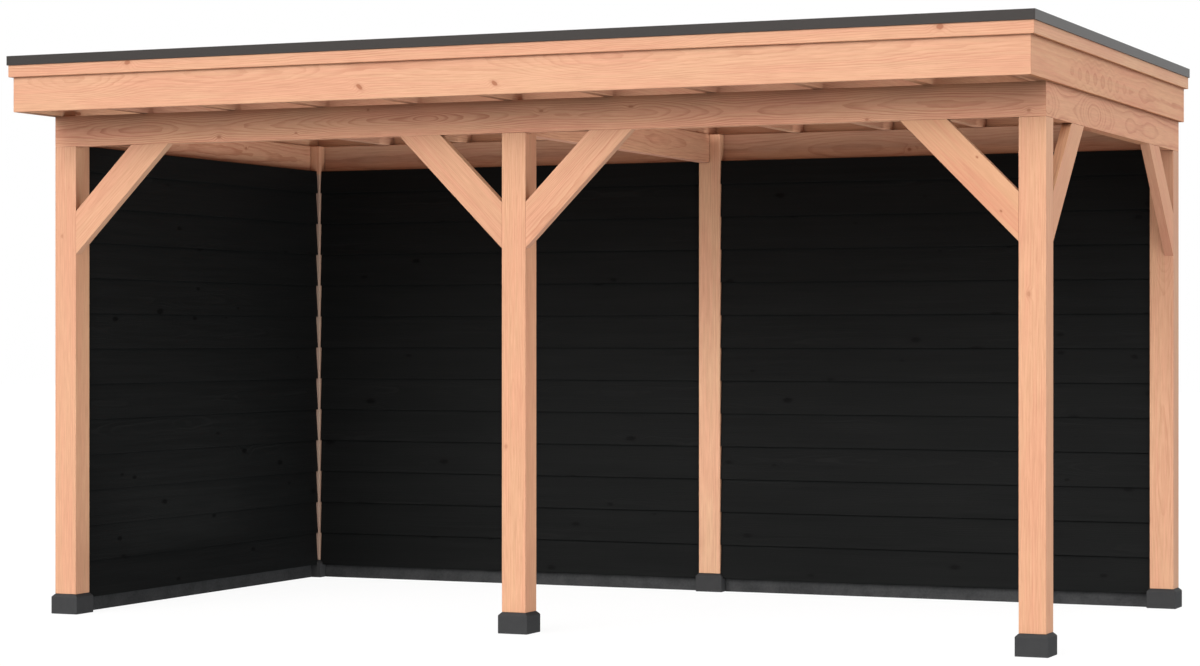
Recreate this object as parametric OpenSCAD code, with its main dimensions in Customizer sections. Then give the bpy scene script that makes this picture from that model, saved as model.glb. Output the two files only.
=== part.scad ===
// Garden canopy: six timber posts, a ring of beams with knee braces, a flat
// boarded roof and dark weatherboard walls on the left side and the back.
// Millimetres. +X runs along the open front, +Y from the open front to the
// closed back, +Z up. The origin is on the ground under the middle of the roof.

/* [Plan] */
// Length of the frame along the front, over the outer faces of the posts
width = 5000; // [3600:10:6000]
// Depth of the frame from front to back, over the outer faces of the posts
depth = 2572; // [2000:1:3200]
// How far the lower fascia stands out in front of the front posts
front_overhang = 321; // [150:1:450]

/* [Posts] */
// Side of the square posts
post = 120; // [120:1:150]
// Height of the underside of the ring beams, which is the headroom
beam_bottom = 2300; // [2100:10:2500]
// Side of the chamfered foot that stands out past each post face
foot_proud = 14; // [8:1:30]
// Height of the feet
foot_h = 98; // [80:1:150]
// Chamfer on the top edge of the feet
foot_chamfer = 14; // [4:1:14]

/* [Beams and braces] */
// Thickness of the ring beams and of the cross beam
beam_t = 60; // [50:1:60]
// Height of the ring beams and of the cross beam
beam_h = 150; // [120:5:200]
// Thickness of the knee braces
brace_t = 45; // [30:1:50]
// Width of the knee braces across the grain
brace_w = 150; // [90:5:160]
// Distance from the inner corner to the near edge of a knee brace
brace_reach = 318; // [250:1:400]

/* [Roof] */
// Thickness of the joists
joist_t = 45; // [38:1:60]
// Height of the joists
joist_h = 145; // [120:5:170]
// Number of joist spaces in each of the two bays
joist_spaces = 5; // [3:1:7]
// Thickness of the roof boards
deck_t = 18; // [15:1:22]
// Thickness of the roof skin
skin_t = 3; // [2:1:5]
// Height of the whole roof above the beams
roof_h = 270; // [240:5:320]
// Thickness of the lower fascia boards
fascia_t = 22; // [18:1:28]
// Thickness of the upper fascia boards, fixed on the lower ones
upper_t = 18; // [15:1:22]
// Height of the lower fascia that shows under the upper fascia
fascia_face = 168; // [120:1:180]
// How far the metal roof trim stands out past the upper fascia
trim_t = 6; // [3:1:10]
// Height of the face of the roof trim
trim_face = 45; // [35:1:60]

/* [Walls] */
// Height of the plinth boards under the walls
plinth_h = 70; // [50:1:90]
// Thickness of the plinth boards and of the wall's inner frame
plinth_t = 33; // [25:1:45]
// Height of each weatherboard that shows
board_h = 175.6; // [120:0.1:195]
// Height of the lowest lap above the ground
first_lap = 75; // [74:1:90]
// Recess of a weatherboard's thick lower edge behind the post face
board_recess = 9; // [6:0.1:20]
// Extra recess of a weatherboard's thin upper edge
board_step = 12.6; // [6:0.1:16]
// How far the inner boards run up past the underside of the beams
board_over = 8; // [0:1:20]

/* [Hidden] */

wood = "#dfa27c";
wood_dark = "#c98a64";
black_stain = "#1c1c1c";
dark_grey = "#454747";
plinth_grey = "#3c3e3e";
metal_grey = "#4b4e4f";
skin_grey = "#2c2d2e";

beam_top = beam_bottom + beam_h;
roof_top = beam_top + roof_h;
joist_top = beam_top + joist_h;
edge = fascia_t + upper_t + trim_t;
mid_x = (width - post) / 2;
deck_front = -front_overhang + fascia_t;
// Plan offsets that bring the middle of the roof to the origin
off_x = -width / 2;
off_y = -(depth + edge - fascia_t + fascia_t - front_overhang - upper_t - trim_t) / 2;
eps = 1;

module place() { translate([off_x, off_y, 0]) children(); }

// ---- Posts and feet ------------------------------------------------------

// Square post from the foot up to the top of the beams; the notches for the
// beams are given as [x0, y0, x1, y1] in the post's own plan.
module notched_post(x, y, notches) {
    color(wood) place() translate([x, y, 0]) difference() {
        translate([0, 0, foot_h]) cube([post, post, beam_top - foot_h]);
        for (n = notches)
            translate([n[0], n[1], beam_bottom])
                cube([n[2] - n[0], n[3] - n[1], beam_h + eps]);
    }
}

// Profile of a foot with its chamfered top edge
function foot_profile() = let (a = -foot_proud, b = post + foot_proud, c = foot_chamfer)
    [[a, 0], [b, 0], [b, foot_h - c], [b - c, foot_h], [a + c, foot_h], [a, foot_h - c]];

module foot(x, y) {
    side = post + 2 * foot_proud;
    color(dark_grey) place() translate([x, y, 0]) intersection() {
        translate([0, post + foot_proud, 0]) rotate([90, 0, 0])
            linear_extrude(side) polygon(foot_profile());
        translate([-foot_proud, 0, 0]) rotate([90, 0, 90])
            linear_extrude(side) polygon(foot_profile());
    }
}

// ---- Mitred rings --------------------------------------------------------

// One side of a rectangular ring with mitred corners: outer rectangle
// x0..x1 by y0..y1, width w, from z0 to z1.
module ring_side(side, x0, y0, x1, y1, w, z0, z1) {
    pts = side == "front" ? [[x0, y0], [x1, y0], [x1 - w, y0 + w], [x0 + w, y0 + w]]
        : side == "back" ? [[x1, y1], [x0, y1], [x0 + w, y1 - w], [x1 - w, y1 - w]]
        : side == "left" ? [[x0, y1], [x0, y0], [x0 + w, y0 + w], [x0 + w, y1 - w]]
        : [[x1, y0], [x1, y1], [x1 - w, y1 - w], [x1 - w, y0 + w]];
    translate([0, 0, z0]) linear_extrude(z1 - z0) polygon(pts);
}

module ring_beam(side)
    color(wood_dark) place() ring_side(side, 0, 0, width, depth, beam_t, beam_bottom, beam_top);

module lower_fascia(side)
    color(wood) place() ring_side(side, -fascia_t, -front_overhang, width + fascia_t,
        depth + fascia_t, fascia_t, beam_top, roof_top - trim_t + 1);

module upper_fascia(side)
    color(wood) place() ring_side(side, -fascia_t - upper_t, -front_overhang - upper_t,
        width + fascia_t + upper_t, depth + fascia_t + upper_t, upper_t,
        beam_top + fascia_face, roof_top - trim_t + 1);

// Roof trim: a face leg, a top plate over both fascia boards and an inner lip
module trim(side) {
    x0 = -edge; y0 = -front_overhang - upper_t - trim_t;
    x1 = width + edge; y1 = depth + edge;
    plate = edge + skin_t + 2;
    color(metal_grey) place() union() {
        ring_side(side, x0, y0, x1, y1, trim_t, roof_top - trim_face, roof_top);
        ring_side(side, x0, y0, x1, y1, plate, roof_top - trim_t + 1, roof_top);
        ring_side(side, x0 + plate - 2, y0 + plate - 2, x1 - plate + 2, y1 - plate + 2,
            2, roof_top - 30, roof_top);
    }
}

// ---- Frame ---------------------------------------------------------------

module cross_beam()
    color(wood_dark) place() translate([mid_x, beam_t, beam_bottom])
        cube([beam_t, depth - 2 * beam_t, beam_h]);

// Outline of a knee brace in its own plane: u runs along the beam away from
// the post, v down from the underside of the beam.
function brace_outline() = let (far = brace_reach + brace_w * sqrt(2))
    [[brace_reach, 0], [far, 0], [0, -far], [0, -brace_reach]];

// Brace in the front frame; x is the post face it leans on, dir +1 or -1
module front_brace(x, dir)
    color(wood) place() translate([x, brace_t, beam_bottom]) rotate([90, 0, 0])
        linear_extrude(brace_t) polygon([for (p = brace_outline()) [dir * p[0], p[1]]]);

// Brace in the right-hand frame; y is the post face it leans on
module side_brace(y, dir)
    color(wood) place() translate([width - brace_t, y, beam_bottom]) rotate([90, 0, 90])
        linear_extrude(brace_t) polygon([for (p = brace_outline()) [dir * p[0], p[1]]]);

// ---- Roof ----------------------------------------------------------------

// Centres of the joists: one stands on each end beam and one on the cross beam
cross_c = mid_x + beam_t / 2;
function joist_x() = concat(
    [for (k = [0:joist_spaces]) joist_t / 2 + k * (cross_c - joist_t / 2) / joist_spaces],
    [for (k = [1:joist_spaces]) cross_c + k * (width - joist_t / 2 - cross_c) / joist_spaces]);

module joists()
    color(wood_dark) place()
        for (x = joist_x())
            translate([x - joist_t / 2, deck_front, beam_top])
                cube([joist_t, depth - deck_front, joist_h]);

module deck()
    color(wood_dark) place() translate([0, deck_front, joist_top])
        cube([width, depth - deck_front, deck_t]);

// Roof skin, turned up against the inside of the fascia boards
module skin() {
    z0 = joist_top + deck_t;
    top = roof_top - trim_t + 1;
    color(skin_grey) place() difference() {
        translate([0, deck_front, z0]) cube([width, depth - deck_front, top - z0]);
        translate([skin_t, deck_front + skin_t, z0 + skin_t])
            cube([width - 2 * skin_t, depth - deck_front - 2 * skin_t, top - z0]);
    }
}

// ---- Walls ---------------------------------------------------------------

// One face of lapped boards, from the bottom up: t is the recess behind the
// post face, each board thick at its lower edge and thin at its upper edge.
function lap_face(top) = let (n = ceil((top - first_lap) / board_h))
    [for (k = [0:n - 1]) each
        let (zb = first_lap + k * board_h,
             zt = min(zb + board_h, top))
        [[board_recess, k == 0 ? plinth_h + 2 : zb],
         [board_recess + board_step * (zt - zb) / board_h, zt]]];

// Reverses a list of points
function flip(l) = [for (i = [len(l) - 1:-1:0]) l[i]];

// Section of a wall: t from the inner post face outwards, z up
function wall_section() = let (
        c0 = (post - plinth_t) / 2, c1 = (post + plinth_t) / 2,
        inner = lap_face(beam_bottom + board_over),
        outer = lap_face(beam_bottom))
    concat(
        [[c0, plinth_h + 2]], inner,
        [[c0, beam_bottom + board_over], [c0, beam_bottom]],
        flip([for (p = outer) [post - p[0], p[1]]]),
        [[c1, plinth_h + 2], [c1, plinth_h], [c0, plinth_h]]);

module left_wall()
    color(black_stain) place() translate([0, depth - post, 0]) rotate([90, 0, 0])
        linear_extrude(depth - 2 * post)
            polygon([for (p = wall_section()) [post - p[0], p[1]]]);

module back_wall(x0, x1)
    color(black_stain) place() translate([x0, depth - post, 0]) rotate([90, 0, 90])
        linear_extrude(x1 - x0) polygon(wall_section());

// Plinth board on the ground between two feet
module plinth_along_x(x0, x1)
    color(plinth_grey) place()
        translate([x0 + foot_proud, depth - (post + plinth_t) / 2, 0])
            cube([x1 - x0 - 2 * foot_proud, plinth_t, plinth_h]);

module plinth_along_y(y0, y1)
    color(plinth_grey) place()
        translate([(post - plinth_t) / 2, y0 + foot_proud, 0])
            cube([plinth_t, y1 - y0 - 2 * foot_proud, plinth_h]);

// ---- Nodes ---------------------------------------------------------------

notched_post(0, 0, [[-eps, -eps, post + eps, beam_t], [-eps, -eps, beam_t, post + eps]]);  // post_front_left
notched_post(mid_x, 0, [[-eps, -eps, post + eps, beam_t], [-eps, 0, beam_t, post + eps]]);  // post_front_mid
notched_post(width - post, 0, [[-eps, -eps, post + eps, beam_t], [post - beam_t, -eps, post + eps, post + eps]]);  // post_front_right
notched_post(0, depth - post, [[-eps, post - beam_t, post + eps, post + eps], [-eps, -eps, beam_t, post + eps]]);  // post_back_left
notched_post(mid_x, depth - post, [[-eps, post - beam_t, post + eps, post + eps], [-eps, -eps, beam_t, post + eps]]);  // post_back_mid
notched_post(width - post, depth - post, [[-eps, post - beam_t, post + eps, post + eps], [post - beam_t, -eps, post + eps, post + eps]]);  // post_back_right

foot(0, 0);  // foot_front_left
foot(mid_x, 0);  // foot_front_mid
foot(width - post, 0);  // foot_front_right
foot(0, depth - post);  // foot_back_left
foot(mid_x, depth - post);  // foot_back_mid
foot(width - post, depth - post);  // foot_back_right

ring_beam("front");  // beam_front
ring_beam("back");  // beam_back
ring_beam("left");  // beam_left
ring_beam("right");  // beam_right
cross_beam();  // beam_cross

front_brace(post, 1);  // brace_front_left
front_brace(mid_x, -1);  // brace_mid_left
front_brace(mid_x + post, 1);  // brace_mid_right
front_brace(width - post, -1);  // brace_front_right
side_brace(post, 1);  // brace_side_front
side_brace(depth - post, -1);  // brace_side_back

joists();  // roof_joists
deck();  // roof_deck
skin();  // roof_membrane

lower_fascia("front");  // fascia_lower_front
lower_fascia("back");  // fascia_lower_back
lower_fascia("left");  // fascia_lower_left
lower_fascia("right");  // fascia_lower_right
upper_fascia("front");  // fascia_upper_front
upper_fascia("back");  // fascia_upper_back
upper_fascia("left");  // fascia_upper_left
upper_fascia("right");  // fascia_upper_right

trim("front");  // roof_trim_front
trim("back");  // roof_trim_back
trim("left");  // roof_trim_left
trim("right");  // roof_trim_right

plinth_along_y(post, depth - post);  // plinth_left
plinth_along_x(post, mid_x);  // plinth_back_left
plinth_along_x(mid_x + post, width - post);  // plinth_back_right

left_wall();  // wall_left
back_wall(post, mid_x);  // wall_back_left
back_wall(mid_x + post, width - post);  // wall_back_right
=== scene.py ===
import bpy
import bmesh
import math
import random
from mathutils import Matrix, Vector


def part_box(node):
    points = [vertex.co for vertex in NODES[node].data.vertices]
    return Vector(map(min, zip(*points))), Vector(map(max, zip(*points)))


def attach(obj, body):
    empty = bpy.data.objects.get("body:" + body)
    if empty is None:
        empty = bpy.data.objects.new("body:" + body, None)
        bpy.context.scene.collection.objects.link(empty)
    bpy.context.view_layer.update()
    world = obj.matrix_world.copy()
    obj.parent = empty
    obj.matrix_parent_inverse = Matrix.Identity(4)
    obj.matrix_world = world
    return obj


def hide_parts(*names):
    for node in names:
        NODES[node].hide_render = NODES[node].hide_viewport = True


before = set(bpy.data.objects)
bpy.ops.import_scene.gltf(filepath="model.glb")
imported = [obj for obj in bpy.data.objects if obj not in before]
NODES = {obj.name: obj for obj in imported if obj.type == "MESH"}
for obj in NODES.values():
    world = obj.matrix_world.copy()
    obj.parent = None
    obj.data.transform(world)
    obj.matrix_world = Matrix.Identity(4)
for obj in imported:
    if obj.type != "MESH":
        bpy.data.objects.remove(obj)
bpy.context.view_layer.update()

# ---------------------------------------------------------------------------
# Plan measures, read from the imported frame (metres)
# ---------------------------------------------------------------------------
LO_F, HI_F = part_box("beam_front")
LO_B, HI_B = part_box("beam_back")
X0, X1 = LO_F.x, HI_F.x              # outer faces of the frame, left and right
Y0, Y1 = LO_F.y, HI_B.y              # outer faces of the frame, front and back
BEAM_Z0, BEAM_Z1 = LO_F.z, HI_F.z
POST = 0.120

# ---------------------------------------------------------------------------
# Node helpers
# ---------------------------------------------------------------------------


class Nodes:
    """Small helper around a node tree."""

    def __init__(self, tree):
        self.t = tree

    def add(self, kind, **props):
        n = self.t.nodes.new(kind)
        for k, v in props.items():
            setattr(n, k, v)
        return n

    def link(self, a, b):
        self.t.links.new(a, b)

    def put(self, socket, value):
        if isinstance(value, bpy.types.NodeSocket):
            self.t.links.new(value, socket)
        else:
            socket.default_value = value

    def math(self, op, a, b=None, c=None, clamp=False):
        n = self.add("ShaderNodeMath", operation=op, use_clamp=clamp)
        self.put(n.inputs[0], a)
        if b is not None:
            self.put(n.inputs[1], b)
        if c is not None:
            self.put(n.inputs[2], c)
        return n.outputs[0]

    def vmath(self, op, a, b=None, out=0):
        n = self.add("ShaderNodeVectorMath", operation=op)
        self.put(n.inputs[0], a)
        if b is not None:
            self.put(n.inputs[1], b)
        return n.outputs[out]

    def dot(self, a, b):
        n = self.add("ShaderNodeVectorMath", operation="DOT_PRODUCT")
        self.put(n.inputs[0], a)
        self.put(n.inputs[1], b)
        return n.outputs["Value"]

    def combine(self, x, y, z):
        n = self.add("ShaderNodeCombineXYZ")
        for s, v in zip(n.inputs, (x, y, z)):
            self.put(s, v)
        return n.outputs[0]

    def split(self, v):
        n = self.add("ShaderNodeSeparateXYZ")
        self.put(n.inputs[0], v)
        return n.outputs[0], n.outputs[1], n.outputs[2]

    def noise(self, vec, scale=1.0, detail=2.0, rough=0.5, out="Fac"):
        n = self.add("ShaderNodeTexNoise")
        n.noise_dimensions = "3D"
        self.put(n.inputs["Vector"], vec)
        n.inputs["Scale"].default_value = scale
        n.inputs["Detail"].default_value = detail
        n.inputs["Roughness"].default_value = rough
        return n.outputs[out]

    def ramp(self, fac, stops, interp="LINEAR"):
        n = self.add("ShaderNodeValToRGB")
        e = n.color_ramp.elements
        while len(e) < len(stops):
            e.new(0.5)
        for el, (p, c) in zip(e, stops):
            el.position = p
            el.color = c if len(c) == 4 else (*c, 1.0)
        n.color_ramp.interpolation = interp
        self.put(n.inputs[0], fac)
        return n.outputs[0]

    def smooth(self, value, lo, hi):
        n = self.add("ShaderNodeMapRange", interpolation_type="SMOOTHSTEP")
        self.put(n.inputs["Value"], value)
        n.inputs["From Min"].default_value = lo
        n.inputs["From Max"].default_value = hi
        return n.outputs["Result"]

    def remap(self, value, a0, a1, b0, b1):
        n = self.add("ShaderNodeMapRange")
        self.put(n.inputs["Value"], value)
        for k, v in zip(("From Min", "From Max", "To Min", "To Max"), (a0, a1, b0, b1)):
            n.inputs[k].default_value = v
        return n.outputs["Result"]

    def mix(self, fac, a, b, blend="MIX"):
        n = self.add("ShaderNodeMix", data_type="RGBA", blend_type=blend)
        n.clamp_factor = True
        self.put(n.inputs[0], fac)
        self.put(n.inputs[6], a if not isinstance(a, tuple) or len(a) == 4 else (*a, 1.0))
        self.put(n.inputs[7], b if not isinstance(b, tuple) or len(b) == 4 else (*b, 1.0))
        return n.outputs[2]


def new_material(name):
    m = bpy.data.materials.new(name)
    m.use_nodes = True
    m.node_tree.nodes.clear()
    n = Nodes(m.node_tree)
    out = n.add("ShaderNodeOutputMaterial")
    bsdf = n.add("ShaderNodeBsdfPrincipled")
    n.link(bsdf.outputs[0], out.inputs[0])
    return m, n, bsdf


# ---------------------------------------------------------------------------
# Timber: growth rings round a pith line that runs along each member
# ---------------------------------------------------------------------------


def grain_group():
    """P is (along the grain, across, across) in metres."""
    g = bpy.data.node_groups.new("timber_grain", "ShaderNodeTree")
    for nm, kind in (("P", "NodeSocketVector"), ("Pith", "NodeSocketVector"),
                     ("Ring", "NodeSocketFloat"), ("Wander", "NodeSocketFloat"),
                     ("Ripple", "NodeSocketFloat"), ("Seed", "NodeSocketFloat"),
                     ("Push", "NodeSocketFloat"), ("Lift", "NodeSocketFloat"),
                     ("Onset", "NodeSocketFloat")):
        g.interface.new_socket(name=nm, in_out="INPUT", socket_type=kind)
    for nm in ("Late", "Fibre", "Strand", "Streak", "Tone", "Fleck"):
        g.interface.new_socket(name=nm, in_out="OUTPUT", socket_type="NodeSocketFloat")
    n = Nodes(g)
    gi = n.add("NodeGroupInput")
    go = n.add("NodeGroupOutput")
    P, pith, ring, wander, ripple, seed, push, lift, onset = [gi.outputs[i] for i in range(9)]
    u, v, w = n.split(P)
    shift = n.combine(n.math("MULTIPLY", seed, 7.31), n.math("MULTIPLY", seed, 3.17),
                      n.math("MULTIPLY", seed, 1.93))
    _, pv, pw = n.split(pith)

    def field(fu, fv, detail, rough, out="Fac"):
        return n.noise(n.vmath("ADD", n.combine(n.math("MULTIPLY", u, fu), n.math("MULTIPLY", v, fv),
                                                n.math("MULTIPLY", w, fv)), shift), 1.0, detail, rough, out)

    # slow wander of the pith along the member, a shorter ripple, and a fine shiver
    sx, sy, _ = n.split(field(0.9, 0.6, 1.0, 0.5, "Color"))
    rx, ry, _ = n.split(field(3.4, 6.0, 2.0, 0.50, "Color"))
    fx, fy, _ = n.split(field(11.0, 46.0, 1.0, 0.5, "Color"))
    dv = n.math("ADD", n.math("SUBTRACT", v, pv),
                n.math("ADD", n.math("MULTIPLY", n.math("SUBTRACT", sx, 0.5), wander),
                       n.math("MULTIPLY", n.math("SUBTRACT", rx, 0.5), ripple)))
    dw = n.math("ADD", n.math("SUBTRACT", n.math("SUBTRACT", w, pw), lift),
                n.math("ADD", n.math("MULTIPLY", n.math("SUBTRACT", sy, 0.5), wander),
                       n.math("MULTIPLY", n.math("SUBTRACT", ry, 0.5), ripple)))
    dv = n.math("ADD", dv, n.math("MULTIPLY", n.math("SUBTRACT", fx, 0.5), 0.0034))
    dw = n.math("ADD", dw, n.math("MULTIPLY", n.math("SUBTRACT", fy, 0.5), 0.0034))
    r = n.math("SQRT", n.math("ADD", n.math("MULTIPLY", dv, dv), n.math("MULTIPLY", dw, dw)))
    r = n.math("ADD", r, push)
    # ring widths vary from year to year
    vary = n.noise(n.combine(n.math("MULTIPLY", r, 60.0), seed, 0.0), 1.0, 1.0, 0.5)
    phase = n.math("ADD", n.math("DIVIDE", r, ring),
                   n.math("MULTIPLY", n.math("SUBTRACT", vary, 0.5), 1.3))
    year = n.math("FLOOR", phase)
    f = n.math("SUBTRACT", phase, year)
    # pale early wood, then a narrow dark line that ends sharply
    rise = n.add("ShaderNodeMapRange", interpolation_type="SMOOTHSTEP")
    n.link(f, rise.inputs["Value"])
    n.link(onset, rise.inputs["From Min"])
    rise.inputs["From Max"].default_value = 0.90
    late = n.math("MULTIPLY", rise.outputs["Result"], n.math("SUBTRACT", 1.0, n.smooth(f, 0.93, 1.0)))
    wn = n.add("ShaderNodeTexWhiteNoise", noise_dimensions="2D")
    n.link(n.combine(year, seed, 0.0), wn.inputs["Vector"])
    late = n.math("MULTIPLY", late, n.remap(wn.outputs["Value"], 0.0, 1.0, 0.40, 1.0))
    # the line comes and goes along the member
    late = n.math("MULTIPLY", late, n.remap(field(2.6, 24.0, 1.0, 0.5), 0.3, 0.7, 0.55, 1.15))
    n.link(late, go.inputs["Late"])
    n.link(field(7.0, 420.0, 3.0, 0.6), go.inputs["Fibre"])
    n.link(field(8.0, 150.0, 2.0, 0.6), go.inputs["Strand"])
    n.link(field(1.7, 62.0, 3.0, 0.55), go.inputs["Streak"])
    n.link(field(1.6, 9.0, 2.0, 0.5), go.inputs["Tone"])
    n.link(n.smooth(field(28.0, 260.0, 1.0, 0.5), 0.66, 0.80), go.inputs["Fleck"])
    return g


def knot_group():
    g = bpy.data.node_groups.new("timber_knot", "ShaderNodeTree")
    for nm, kind in (("P", "NodeSocketVector"), ("At", "NodeSocketVector"),
                     ("Inverse size", "NodeSocketVector")):
        g.interface.new_socket(name=nm, in_out="INPUT", socket_type=kind)
    for nm in ("Core", "Halo", "Push"):
        g.interface.new_socket(name=nm, in_out="OUTPUT", socket_type="NodeSocketFloat")
    n = Nodes(g)
    gi = n.add("NodeGroupInput")
    go = n.add("NodeGroupOutput")
    P, at, inv = gi.outputs[0], gi.outputs[1], gi.outputs[2]
    rel = n.vmath("MULTIPLY", n.vmath("SUBTRACT", P, at), inv)
    wob = n.noise(n.vmath("MULTIPLY", P, (60.0, 60.0, 60.0)), 1.0, 1.0, 0.5)
    d = n.math("ADD", n.vmath("LENGTH", rel, out="Value"),
               n.math("MULTIPLY", n.math("SUBTRACT", wob, 0.5), 0.5))
    n.link(n.math("SUBTRACT", 1.0, n.smooth(d, 0.70, 1.15)), go.inputs["Core"])
    n.link(n.math("SUBTRACT", 1.0, n.smooth(d, 0.8, 2.4)), go.inputs["Halo"])
    n.link(n.math("SUBTRACT", 1.0, n.smooth(d, 0.5, 4.2)), go.inputs["Push"])
    return g


GRAIN = grain_group()
KNOT = knot_group()

EARLY = (0.482, 0.254, 0.153)
LATE = (0.300, 0.104, 0.054)
KNOT_DARK = (0.265, 0.092, 0.043)


def crevice(n, reach=0.024, samples=3):
    """1 in the open, towards 0 deep in a joint: used for painted shade in joints and under ledges."""
    ao = n.add("ShaderNodeAmbientOcclusion")
    ao.samples = samples
    ao.inputs["Distance"].default_value = reach
    return ao.outputs["AO"]


def wood_body(n, bsdf, P, seed, pith=(0, 0.05, 0.06), ring=0.009, wander=0.05, ripple=0.006,
              contrast=0.35, streaks=0.10, patch=1.0, tint=(1, 1, 1), knots=(), knot_field=0.0,
              eyes=(), chain=None, onset=0.42, knot_mix=0.88, rough=0.62, bump=0.12,
              gap=(0.024, 0.10, 0.70, (0.48, 0.41, 0.38)), eaves=False, brow=None,
              faces=()):
    """Fills the shader from grain coordinates P. Knots are (u, v, w, radius,
    stretch, tilt); eyes are (u, half length, rise of the pith); a chain is
    (from, to, first eye, spacing, rise). The joint shade argument is painted shade
    laid from ambient occlusion in joints and under ledges: reach, full at, none at, colour. faces are (way, colour,
    below) for sides that lie in more or less shade than the rest, painted shade or light on the whole side, up to a
    height if given."""
    uu, vv, ww = n.split(P)
    push = None
    core = halo = None
    for kn in knots:
        ku, kv, kw, kr = kn[:4]
        stretch = kn[4] if len(kn) > 4 else 1.35
        Q = P
        if len(kn) > 5:
            rot = n.add("ShaderNodeVectorRotate", rotation_type="Z_AXIS")
            n.put(rot.inputs["Vector"], P)
            rot.inputs["Center"].default_value = (ku, kv, kw)
            rot.inputs["Angle"].default_value = math.radians(kn[5])
            Q = rot.outputs[0]
        k = n.add("ShaderNodeGroup", node_tree=KNOT)
        n.put(k.inputs["P"], Q)
        k.inputs["At"].default_value = (ku, kv, kw)
        k.inputs["Inverse size"].default_value = (1 / (kr * stretch), 1 / kr, 1 / kr)
        pk = n.math("MULTIPLY", k.outputs["Push"], kr * 0.9)
        push = pk if push is None else n.math("ADD", push, pk)
        core = k.outputs["Core"] if core is None else n.math("MAXIMUM", core, k.outputs["Core"])
        halo = k.outputs["Halo"] if halo is None else n.math("MAXIMUM", halo, k.outputs["Halo"])
    if knot_field:
        # scattered knots for boards that share one material
        cell = n.add("ShaderNodeTexVoronoi", voronoi_dimensions="2D", feature="F1")
        cell.inputs["Scale"].default_value = 1.0
        n.link(n.combine(n.math("ADD", n.math("MULTIPLY", uu, 3.0), n.math("MULTIPLY", seed, 13.7)),
                         n.math("ADD", n.math("MULTIPLY", n.math("ADD", vv, ww), 9.0), n.math("MULTIPLY", seed, 5.3)), 0.0),
               cell.inputs["Vector"])
        pick, _, size = n.split(cell.outputs["Color"])
        there = n.math("GREATER_THAN", pick, 1.0 - 0.45 * knot_field)
        d = n.math("DIVIDE", cell.outputs["Distance"], n.remap(size, 0.0, 1.0, 0.030, 0.085))
        wob = n.noise(n.vmath("MULTIPLY", P, (60.0, 60.0, 60.0)), 1.0, 1.0, 0.5)
        d = n.math("ADD", d, n.math("MULTIPLY", n.math("SUBTRACT", wob, 0.5), 0.5))
        core = n.math("MULTIPLY", there, n.math("SUBTRACT", 1.0, n.smooth(d, 0.75, 1.15)))
        halo = n.math("MULTIPLY", there, n.math("SUBTRACT", 1.0, n.smooth(d, 0.8, 2.6)))
        push = n.math("MULTIPLY", n.math("MULTIPLY", there, n.math("SUBTRACT", 1.0, n.smooth(d, 0.5, 4.2))), 0.006)
    lift = None
    for (eu, el, ea) in eyes:
        t = n.math("DIVIDE", n.math("SUBTRACT", uu, eu), el)
        e = n.math("MULTIPLY", n.math("EXPONENT", n.math("MULTIPLY", n.math("MULTIPLY", t, t), -1.0)), ea)
        lift = e if lift is None else n.math("ADD", lift, e)
    if chain:
        c0, c1, first, spacing, rise = chain
        t = n.math("MULTIPLY", n.math("SUBTRACT", uu, first), 2 * math.pi / spacing)
        e = n.math("MULTIPLY", n.math("COSINE", t), rise)
        e = n.math("MULTIPLY", e, n.math("MULTIPLY", n.smooth(uu, c0 - 0.12, c0 + 0.12),
                                         n.math("SUBTRACT", 1.0, n.smooth(uu, c1 - 0.15, c1 + 0.15))))
        lift = e if lift is None else n.math("ADD", lift, e)
    g = n.add("ShaderNodeGroup", node_tree=GRAIN)
    n.put(g.inputs["P"], P)
    g.inputs["Pith"].default_value = pith
    g.inputs["Ring"].default_value = ring
    g.inputs["Wander"].default_value = wander
    g.inputs["Ripple"].default_value = ripple
    g.inputs["Onset"].default_value = onset
    n.put(g.inputs["Seed"], seed)
    if push is not None:
        n.link(push, g.inputs["Push"])
    if lift is not None:
        n.link(lift, g.inputs["Lift"])
    late, fibre, strand, streak, tone, fleck = [g.outputs[i] for i in range(6)]

    def t(c):
        return tuple(min(1.0, a * b) for a, b in zip(c, tint))

    col = n.mix(n.math("MULTIPLY", late, contrast), t(EARLY), t(LATE))
    # pinker in one place, yellower in another
    pink = n.smooth(n.math("ADD", n.math("MULTIPLY", tone, 0.5), n.math("MULTIPLY", streak, 0.5)), 0.38, 0.63)
    ptn = n.mix(pink, (1.0 + 0.014 * patch, 1.0 + 0.052 * patch, 1.0 + 0.040 * patch, 1),
                (1.0 - 0.025 * patch, 1.0 - 0.085 * patch, 1.0 - 0.075 * patch, 1))
    col = n.mix(1.0, col, ptn, "MULTIPLY")
    # long streaks, strands and fibres
    s = n.math("ADD", n.math("MULTIPLY", n.math("SUBTRACT", streak, 0.5), 3.0 * streaks),
               n.math("ADD", n.math("MULTIPLY", n.math("SUBTRACT", strand, 0.5), 5.5 * streaks),
                      n.math("MULTIPLY", n.math("SUBTRACT", fibre, 0.5), 1.8 * streaks)))
    shade = n.math("ADD", 1.0, s)
    sc = n.combine(shade, n.math("POWER", shade, 1.30), n.math("POWER", shade, 1.45))
    col = n.mix(1.0, col, sc, "MULTIPLY")
    col = n.mix(n.math("MULTIPLY", fleck, 0.25), col, t((0.290, 0.112, 0.060)))
    if core is not None:
        col = n.mix(n.math("MULTIPLY", halo, 0.30), col, t((0.312, 0.129, 0.072)))
        col = n.mix(n.math("MULTIPLY", core, knot_mix), col, KNOT_DARK)
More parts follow.
